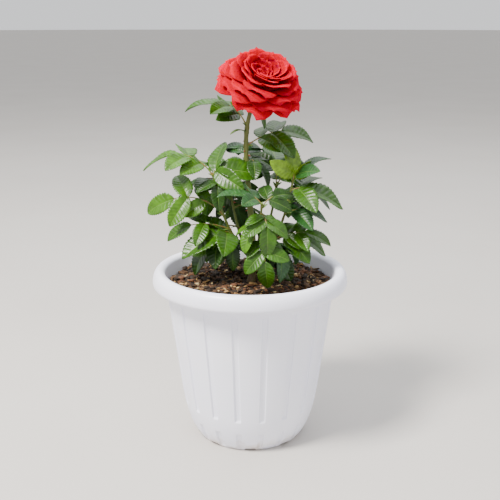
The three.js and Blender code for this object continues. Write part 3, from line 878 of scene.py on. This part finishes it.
def leaflets_of(leaf, stalk, dice):
    along, side, face = stalk_frame(leaf, 1)
    length = leaf.blade * dice.between(*GROWTH)
    nodding = [turned(way, side, -LEAFLET_NOD) for way in (along, face)]
    found = [Leaflet(on_curve(stalk, 1), *nodding, length)]
    for share, size in PAIRS[leaf.leaflets]:
        for hand in (-1, 1):
            along, _, face = stalk_frame(leaf, share)
            along = turned(along, face, -hand * dice.between(*SPREAD))
            across = along.cross(face)
            lift = dice.between(*LIFT)
            ways = [turned(way, across, lift) for way in (along, face)]
            length = leaf.blade * size * dice.between(*GROWTH)
            found.append(Leaflet(on_curve(stalk, share), *ways, length))
    return found


# %% One leaflet
COLUMNS = [0.025, 0.18, 0.38, 0.58, 0.79, 1.0]
ROWS = 56
TEETH = 14
TOOTH = 0.17
TOOTH_NOTCH = 0.4
SIDE_VEINS = 9
VEIN_SLANT = 0.55
RIB_BULGE = 0.015
RIB_ROUND = 0.55
RIB_BASE = 0.7
RIB_START = 0.3
RIB_FADE = 0.7
RIB_FADE_FROM = 0.7
RIB_TIP = 0.15
MIDRIB_SINK = 0.012
MIDRIB_REACH = 0.2
RUFFLE = 0.02
RUFFLE_TURN = 7
FOLD_POWER = 1.25
OUTLINE_FOOT = 0.62
OUTLINE_TIP = 0.8
OUTLINE_PEAK = 0.452
LEAFLET_FOOT = 0.6
Shape = namedtuple("Shape", "width fold bend")
BLADE = Shape(width=0.66, fold=0.2, bend=38)


def outline(share):
    """Half the width of a leaflet at a share of its length, for a greatest half width of 1."""
    return min(1, share ** OUTLINE_FOOT * (1 - share) ** OUTLINE_TIP / OUTLINE_PEAK)


def flat_grid(columns, rows):
    """A flat grid from -1 to 1, both ways."""
    bm = bmesh.new()
    bmesh.ops.create_grid(bm, x_segments=columns, y_segments=rows, size=1)
    return bm


def blade_grid():
    """A flat grid whose middle column is the midrib."""
    cells = 2 * len(COLUMNS) - 1
    step = 2 / cells
    bm = flat_grid(cells, ROWS)
    for face in bm.faces:
        face.material_index = int(abs(face.calc_center_median().x) < step / 2)
    for vert in bm.verts:
        column = round(abs(vert.co.x) / step - 0.5)
        vert.co.x = math.copysign(COLUMNS[column], vert.co.x)
    return bm


def relief(out, row, share, phase):
    """The ribs between side veins, the waved edge and the sunken midrib, for a length of 1."""
    rib = abs(math.sin(math.pi * SIDE_VEINS * row)) ** RIB_ROUND - RIB_BASE
    rim = 1 - RIB_FADE * ease(out, RIB_FADE_FROM, 1)
    high = RIB_BULGE * rib * ease(out, 0, RIB_START) * rim * ease(1 - row, 0, RIB_TIP)
    wave = RUFFLE * math.sin(RUFFLE_TURN * share + phase) * out * out
    return high + (wave - MIDRIB_SINK * (1 - ease(out, 0, MIDRIB_REACH)))


def blade_point(leaflet, shape, across, row, phase):
    """Where a point of the flat grid lies on the real leaflet. Rows follow the side veins."""
    size = leaflet.length
    out = abs(across)
    share = row + VEIN_SLANT * out * row * (1 - row)
    half = max(LEAFLET_FOOT, shape.width * size * outline(share) / 2)
    if out == 1:
        half *= 1 + TOOTH * (row * TEETH % 1 - TOOTH_NOTCH)
    lift = shape.fold * half * out ** FOLD_POWER + relief(out, row, share, phase) * size
    bend = math.radians(shape.bend)
    turn = bend * share
    point = leaflet.foot + leaflet.along.cross(leaflet.face) * across * half
    point += leaflet.along * (math.sin(turn) / bend * size + math.sin(turn) * lift)
    return point + leaflet.face * ((math.cos(turn) - 1) / bend * size + math.cos(turn) * lift)


def blade_mesh(flat, leaflet, shape, tint, rib, phase):
    bm = flat.copy()
    for vert in bm.verts:
        vert.co = blade_point(leaflet, shape, vert.co.x, (vert.co.y + 1) / 2, phase)
    for face in bm.faces:
        face.material_index = rib if face.material_index else tint
    return bm


# %% Leaf finishes
def leaf_finish(name, colour):
    finish = Finish(name, {"Specular IOR Level": 0.32, "Coat Weight": 0.1, "Coat Roughness": 0.25})
    mottle = finish.noise(scale=130, detail=5)
    dark, light = shaded(colour, 0.62), shaded(colour, 1.28)
    finish.set("Base Color", finish.mix(mottle.clamped(0.3, 0.7), dark, light))
    finish.set("Roughness", finish.noise(scale=300, detail=2) * 0.12 + 0.31)
    finish.bump(finish.noise(scale=900, detail=2) + mottle, strength=0.1, distance=0.0006)
    return finish


def matt_leaf_finish(name, colour):
    finish = Finish(name, {"Roughness": 0.6})
    mottle = finish.noise(scale=260, detail=4)
    finish.set("Base Color", finish.mix(mottle, shaded(colour, 0.8), shaded(colour, 1.15)))
    finish.bump(mottle, strength=0.25, distance=0.0008)
    return finish


LEAF_COLOURS = {
    "leaf_deep": (30, 62, 4),
    "leaf_mid": (46, 84, 2),
    "leaf_fresh": (58, 100, 0),
    "leaf_lime": (94, 128, 0),
    "leaf_bluish": (36, 78, 30),
}
BACK_PALENESS = 1.6
leaf_finishes = [leaf_finish(name, paint(*colour)) for name, colour in LEAF_COLOURS.items()]
leaf_finishes.append(matt_leaf_finish("leaf_midrib", paint(82, 114, 36)))
for name, colour in LEAF_COLOURS.items():
    leaf_finishes.append(matt_leaf_finish(f"{name}_back", shaded(paint(*colour), BACK_PALENESS)))
MIDRIB = len(LEAF_COLOURS)
BACKS = MIDRIB + 1
print("leaf finishes:", len(leaf_finishes))

# %% Growing the leaves
BLADE_THICKNESS = 0.45
STALK_RADIUS = 1.0
STALK_TIP_RADIUS = 0.6
STALK_SIDES = 10
STALK_STEPS = 14
STALK_FOOT = 0.9
STALK_FOOT_REACH = 0.07
STIPULE_LENGTH = 9
STIPULE = Shape(width=0.4, fold=0.3, bend=30)
STIPULE_SPREAD = 24
STIPULE_CELLS = (4, 10)


def stalk_radius(share):
    """A stalk is thicker where it clasps its shoot."""
    clasp = STALK_FOOT * math.exp(-(share / STALK_FOOT_REACH) ** 2)
    return mid(STALK_RADIUS, STALK_TIP_RADIUS, share) + clasp


def grow(blades, leaf, curve, dice):
    """Grows one compound leaf, with two stipules at its foot. All stalks share one mesh."""
    stalk = stalk_curve(leaf, on_curve(curve, leaf.at))
    join(stalk_meshes, sweep(stalk, stalk_radius, STALK_SIDES, STALK_STEPS))
    for leaflet in leaflets_of(leaf, stalk, dice):
        phase = leaflet.foot.x + leaflet.foot.z
        join(blades, blade_mesh(flat_blade, leaflet, BLADE, leaf.tint, MIDRIB, phase))
    along, _, face = stalk_frame(leaf, 0)
    for hand in (-1, 1):
        way = turned(along, face, hand * STIPULE_SPREAD)
        stipule = Leaflet(stalk[0], way, face, STIPULE_LENGTH)
        join(blades, blade_mesh(flat_stipule, stipule, STIPULE, MIDRIB, MIDRIB, 0))


def leafy_piece(name, leaves, curve, order, node):
    """Grows leaves on one curve as a piece. Each order has a number sequence of its own."""
    dice = Dice(FIRST_SEED * (order + 1))
    blades = bmesh.new()
    for leaf in leaves:
        grow(blades, leaf, curve, dice)
    made = piece(name, blades, leaf_finishes, "leaf", node)
    thicken(made, BLADE_THICKNESS, -1.0, BACKS)


flat_blade = blade_grid()
flat_stipule = flat_grid(*STIPULE_CELLS)
stalk_meshes = bmesh.new()
for order, (side, shoot) in enumerate(SHOOTS.items()):
    leafy_piece(f"{side}_leaves", LEAVES[side], shoot_curve(shoot), order, f"{side}_foliage")
for order, (name, leaf) in enumerate(CANE_LEAVES.items(), len(SHOOTS)):
    leafy_piece(f"{name}_blades", [leaf], CANE, order, name)

# %% Stalks, cane and shoots
SHOOT_KNUCKLE = 0.6
PRICKLES_ON_CANE = 15
PRICKLES_ON_SHOOT = 4
PRICKLED_CANE = (0.16, 0.9)
PRICKLED_SHOOT = (0.12, 0.8)
PRICKLE_SHIFT = (0.1, 0.9)
MEAN_SHOOT_RADIUS = SHOOT_RADIUS * 0.8
CANE_NODES = ["main_cane"] + [f"{side}_shoot" for side in SHOOTS]


def stalk_finish():
    finish = Finish("leaf_stalk", {"Roughness": 0.5})
    tone = finish.noise(scale=160, detail=4).clamped(0.35, 0.65)
    finish.set("Base Color", finish.mix(tone, paint(92, 118, 34), paint(124, 90, 48)))
    finish.bump(finish.noise(scale=900, detail=2), strength=0.2, distance=0.0005)
    return finish


def bough_mesh():
    """The cane and its shoots, swollen where leaves leave them, and then their prickles."""
    dice = Dice(FIRST_SEED * 3)
    bm = bmesh.new()
    join(bm, sweep(CANE, cane_radius, CANE_SIDES, CANE_STEPS))
    for side, shoot in SHOOTS.items():
        joints = [leaf.at for leaf in LEAVES[side]]

        def radius_at(share):
            plain = mid(SHOOT_RADIUS, SHOOT_TIP_RADIUS, share)
            return plain + SHOOT_KNUCKLE * knuckle(share, joints)

        join(bm, sweep(shoot_curve(shoot), radius_at, SHOOT_SIDES, SHOOT_STEPS))
    roughen(bm)
    for number in range(PRICKLES_ON_CANE):
        share = mid(*PRICKLED_CANE, (number + dice.between(*PRICKLE_SHIFT)) / PRICKLES_ON_CANE)
        join(bm, prickle(CANE, share, cane_radius(share), dice.between(0, 360)))
    for shoot in SHOOTS.values():
        curve = shoot_curve(shoot)
        for number in range(PRICKLES_ON_SHOOT):
            step = (number + dice.between(*PRICKLE_SHIFT)) / PRICKLES_ON_SHOOT
            share = mid(*PRICKLED_SHOOT, step)
            join(bm, prickle(curve, share, MEAN_SHOOT_RADIUS, dice.between(0, 360)))
    return bm


piece("leaf_stalks", stalk_meshes, [stalk_finish()], "cane")
piece("canes", bough_mesh(), [cane_finish(), prickle_finish()], "cane", *CANE_NODES)

# %% [markdown]
# ## The bloom
#
# A garden rose is rings of overlapping petals round one axis: tight and upright in its heart,
# then cupped, then thrown open with the edges rolled back. Each petal is a grid that is laid along
# a midline from its foot to its edge and wrapped round the axis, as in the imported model, and the
# rings that the model has stand here at the same turn. The heart is one plain form there and gets
# its own small petals here, and more rings fill the gaps between the model's. The rims are rolled
# and waved, and petals end in a point, as in the photo. Inside them a closed core keeps the light
# from passing between the petals' feet. Petals let some light through, so the finish scatters it.

# %% Petal rings
BLOOM_NOD = 30
BLOOM_LEAN = 16
HIP_LENGTH = 9
PETAL_SHIFT = (-4, 4)
PETAL_GROWTH = (0.97, 1.03)
PETAL_SLIP = 1.6
HANDLE_FOOT = 0.42
HANDLE_LIP = 0.34
EDGE_FROM = 0.6
EDGE_OVER = 0.42
EDGE_POWER = 2.6
ROLL_BELOW = 60
ROLL_OVER = 110
ROLL_POWER = 2.5
ROLL_OUT = 3
ROLL_DOWN = 7
Ring = namedtuple("Ring", "petals foot out up spread rise lip turn")
RINGS = [
    Ring(3, 0.6, 2.4, 31, 90, 90, 96, 41),
    Ring(4, 1.0, 4.8, 33, 62, 90, 92, 74),
    Ring(5, 1.6, 7.6, 35, 50, 89, 86, 35),
    Ring(5, 2.4, 10.8, 37, 46, 88, 80, 68),
    Ring(5, 3.5, 14.5, 39.5, 47, 86, 76, 29),
    Ring(5, 4.5, 18.5, 42, 47, 84, 70, 62),
    Ring(5, 5.5, 23, 44.5, 47, 80, 62, 23),
    Ring(5, 6.5, 28, 44.5, 46, 76, 50, 56),
    Ring(5, 7.5, 34, 40.5, 45, 68, 36, 17),
    Ring(5, 9, 41, 33.5, 44, 56, 12, 50),
    Ring(5, 9.5, 46, 27, 43, 46, -4, 30),
    Ring(5, 10, 49.5, 19, 42, 34, -22, 11),
    Ring(5, 10, 49.5, 10, 38, 14, -40, 44),
]
HEART_RINGS = 4
CUP_RINGS = 8
PETAL_COLUMNS = 20
PETAL_ROWS = 18
PETAL_WAVE = 0.5
WAVE_TURN = 2.6
WAVE_OUT = 0.4
WAVE_STARTS = (0, 6)
PETAL_POINT = 2.0
POINT_WIDTH = 0.13
POINT_POWER = 10
PETAL_THICKNESS = 0.7
LIP_FROM = 0.84
LIP_OUT = 1.9
LIP_DOWN = 1.1
# Past this share of a petal's length its rows take a lighter red, a painted highlight on the rolled
# lip.
LIP_HIGHLIGHT_FROM = 0.86
LIP_HIGHLIGHT_SLOT = 3
print("petals:", sum(ring.petals for ring in RINGS))


def petal_outline(share):
    """How much of a petal's greatest width it has at a share of its length."""
    return math.sqrt(1 - (max(0, share - EDGE_FROM) / EDGE_OVER) ** EDGE_POWER)


def flat_heading(angle):
    """A unit vector in the plane of a petal's midline, so many degrees above the outward way."""
    return Vector((math.cos(math.radians(angle)), math.sin(math.radians(angle))))


def petal_point(ring, midline, azimuth, side, share, wave):
    """Where a point of the flat grid lies on a petal, in the flower's own frame."""
    point = on_curve(midline, share)
    roll = max(0, ROLL_BELOW - ring.lip) / ROLL_OVER
    curl = roll * abs(side) ** ROLL_POWER * share * share
    ripple = PETAL_WAVE * math.sin(WAVE_TURN * side + wave) * share ** 3
    middle = math.exp(-(side / POINT_WIDTH) ** 2)
    tip = flat_heading(ring.lip) * PETAL_POINT * middle * share ** POINT_POWER
    lip = ease(share, LIP_FROM, 1)
    radius = point.x + PETAL_SLIP * side + ROLL_OUT * curl + WAVE_OUT * ripple + tip.x + LIP_OUT * lip
    height = point.y - ROLL_DOWN * curl + ripple + tip.y - LIP_DOWN * lip * lip
    turn = math.radians(azimuth + side * ring.spread * petal_outline(share))
    return Vector((radius * math.cos(turn), radius * math.sin(turn), height))


def petal_mesh(flat, ring, azimuth, growth, wave, slot):
    """One petal. Its rows near the edge take the slot of a painted highlight on the lip, and the
    others the ring's.
    """
    foot = Vector((ring.foot, 0))
    edge = Vector((ring.out, ring.up)) * growth
    span = (edge - foot).length
    midline = [
        foot,
        foot + flat_heading(ring.rise) * HANDLE_FOOT * span,
        edge - flat_heading(ring.lip) * HANDLE_LIP * span,
        edge,
    ]
    bm = flat.copy()
    for face in bm.faces:
        face.material_index = LIP_HIGHLIGHT_SLOT if face.calc_center_median().y > LIP_HIGHLIGHT_FROM else slot
    for vert in bm.verts:
        vert.co = petal_point(ring, midline, azimuth, vert.co.x, (vert.co.y + 1) / 2, wave)
    return bm


# %% Petal finishes
PETAL_OPTICS = {
    "Specular IOR Level": 0.0,
    "Subsurface Weight": 0.7,
    "Subsurface Radius": (1.0, 0.1, 0.1),
    "Subsurface Scale": 0.006,
}


def petal_finish(name, colour, rough):
    finish = Finish(name, PETAL_OPTICS)
    cloud = finish.noise(scale=60, detail=3).clamped(0.3, 0.7)
    finish.set("Base Color", finish.mix(cloud, shaded(colour, 0.75), shaded(colour, 1.12)))
    finish.set("Roughness", finish.noise(scale=220, detail=3) * 0.2 + rough - 0.1)
    finish.bump(finish.noise(scale=320, detail=4), strength=0.25, distance=0.0015)
    return finish


petal_finishes = [
    petal_finish("petal_heart", paint(150, 0, 19), 0.6),
    petal_finish("petal_cup", paint(156, 0, 22), 0.6),
    petal_finish("petal_open", paint(160, 0, 25), 0.6),
    # The lip's lighter red is a painted highlight along the rolled rims.
    petal_finish("petal_lip_highlight", paint(180, 0, 36), 0.55),
]

# %% Putting the bloom together
CORE_PROFILE = [(0, 1), (9, 1), (13.5, 9.5), (18.5, 18), (23, 25.5), (20, 27.5), (0, 26)]
CORE_SIDES = 32

axis = Vector((math.sin(math.radians(BLOOM_LEAN)), -math.sin(math.radians(BLOOM_NOD)), 0))
axis.z = math.sqrt(1 - axis.length_squared)
right = Vector((0, 1, 0)).cross(axis).normalized()
flower_frame = Matrix((right, axis.cross(right), axis)).transposed().to_4x4()
flower_frame.translation = on_curve(CANE, 1)


def bloom_mesh():
    """A closed core and the rings of petals round it, set on the hip in the flower's place."""
    flat = flat_grid(PETAL_COLUMNS, PETAL_ROWS)
    bm = spin_profile(CORE_PROFILE, CORE_SIDES)
    dice = Dice(FIRST_SEED)
    for order, ring in enumerate(RINGS):
        slot = 0 if order < HEART_RINGS else 1 if order < CUP_RINGS else 2
        for petal in range(ring.petals):
            azimuth = ring.turn + 360 * petal / ring.petals + dice.between(*PETAL_SHIFT)
            growth = dice.between(*PETAL_GROWTH)
            wave = dice.between(*WAVE_STARTS)
            join(bm, petal_mesh(flat, ring, azimuth, growth, wave, slot))
    place = flower_frame @ Matrix.Translation((0, 0, HIP_LENGTH))
    bmesh.ops.transform(bm, matrix=place, verts=bm.verts)
    return bm


petals = piece("rose_petals", bloom_mesh(), petal_finishes, "petal", "bloom")
thicken(petals, PETAL_THICKNESS)

# %% [markdown]
# ## The hip and its sepals
#
# Under the petals sits the hip, a small green urn, with five narrow sepals that fold back once the
# flower opens. The urn is a spin, and a sepal is a leaflet with other proportions.

# %% Hip and sepals
HIP_BOTTOM = [(0, 0), (2.2, 0), (4.4, 1.2), (6.0, 2.8), (6.5, 4.6)]
HIP_TOP = [(6.1, 6.6), (5.4, 8.0), (5.0, 8.7), (0, 8.7)]
HIP_SIDES = 32
SEPALS = 5
SEPAL_LENGTH = 26
SEPAL = Shape(width=0.27, fold=0.1, bend=50)
SEPAL_RISE = -30
SEPAL_OUT = 3
SEPAL_BELOW = 2
SEPAL_TURN = 10


def hip_mesh():
    bm = tinted(spin_profile(HIP_BOTTOM + HIP_TOP, HIP_SIDES), FRESH)
    bmesh.ops.transform(bm, matrix=flower_frame, verts=bm.verts)
    return bm


def sepal_mesh():
    bm = bmesh.new()
    for sepal in range(SEPALS):
        azimuth = SEPAL_TURN + 360 * sepal / SEPALS
        foot = heading(azimuth, 0) * SEPAL_OUT + Vector((0, 0, HIP_LENGTH - SEPAL_BELOW))
        ways = [heading(azimuth, rise) for rise in (SEPAL_RISE, SEPAL_RISE + 90)]
        leaflet = Leaflet(foot, *ways, SEPAL_LENGTH)
        join(bm, blade_mesh(flat_blade, leaflet, SEPAL, FRESH, MIDRIB, sepal))
    bmesh.ops.transform(bm, matrix=flower_frame, verts=bm.verts)
    return bm


piece("rose_hip", hip_mesh(), leaf_finishes, "cane", "hip_and_sepals")
sepals = piece("sepals", sepal_mesh(), leaf_finishes, "cane", "hip_and_sepals")
thicken(sepals, BLADE_THICKNESS, -1.0, BACKS)

# %% [markdown]
# ## Floor, light and camera
#
# The stage is plain, so that the plant is judged on its own: a wide pale floor, a large soft light
# from the upper left, where the photo's sun stands, a fill on the right and a bright sky. The
# camera stands where the photo's did, which the ellipses of the pot's rim and foot give.

# %% The floor
FLOOR_RADIUS = 30
FLOOR_SIDES = 96


def floor_finish():
    finish = Finish("pale_floor", {"Roughness": 0.7})
    cloud = finish.noise(scale=3, detail=3)
    finish.set("Base Color", finish.mix(cloud, paint(186, 181, 175), paint(196, 192, 187)))
    return finish


floor_disc = bmesh.new()
bmesh.ops.create_circle(floor_disc, cap_ends=True, segments=FLOOR_SIDES, radius=FLOOR_RADIUS)
floor = shown("floor", baked("floor", floor_disc))
floor.data.materials.append(floor_finish().material)
print("floor:", 2 * FLOOR_RADIUS, "m across")

# %% The lights
Light = namedtuple("Light", "name place power size colour")
LIGHTS = [
    Light("key", (-1.1, -0.9, 2.2), 175, 0.6, (1.0, 0.96, 0.9)),
    Light("fill", (1.6, -1.2, 1.0), 8, 1.6, (0.97, 0.98, 1.0)),
    Light("sky", (0.3, 0.9, 2.4), 60, 3.0, (0.95, 0.97, 1.0)),
]
AIM = Vector((0, 0, 0.28))
SKY_STRENGTH = 1.02
SKY_COLOUR = (0.97, 0.98, 1.0, 1)

for light in LIGHTS:
    lamp = bpy.data.lights.new(light.name, "AREA")
    lamp.energy = light.power
    lamp.size = light.size
    lamp.color = light.colour
    stand = shown(light.name, lamp)
    stand.location = light.place
    stand.rotation_euler = (AIM - stand.location).to_track_quat("-Z", "Y").to_euler()
    print(f"{light.name} light: {light.power} W")

world = bpy.data.worlds.new("sky")
bpy.context.scene.world = world
world.use_nodes = True
background = world.node_tree.nodes["Background"]
background.inputs["Color"].default_value = SKY_COLOUR
background.inputs["Strength"].default_value = SKY_STRENGTH

# %% The camera
CAMERA_PLACE = (0, -1.049, 0.539)
CAMERA_PITCH = 15.54
CAMERA_LENS = 61.2

camera_data = bpy.data.cameras.new("camera")
camera_data.lens = CAMERA_LENS
camera = shown("camera", camera_data)
camera.location = CAMERA_PLACE
camera.rotation_euler = (math.radians(90 - CAMERA_PITCH), 0, 0)
bpy.context.scene.camera = camera
print("camera at", CAMERA_PLACE)
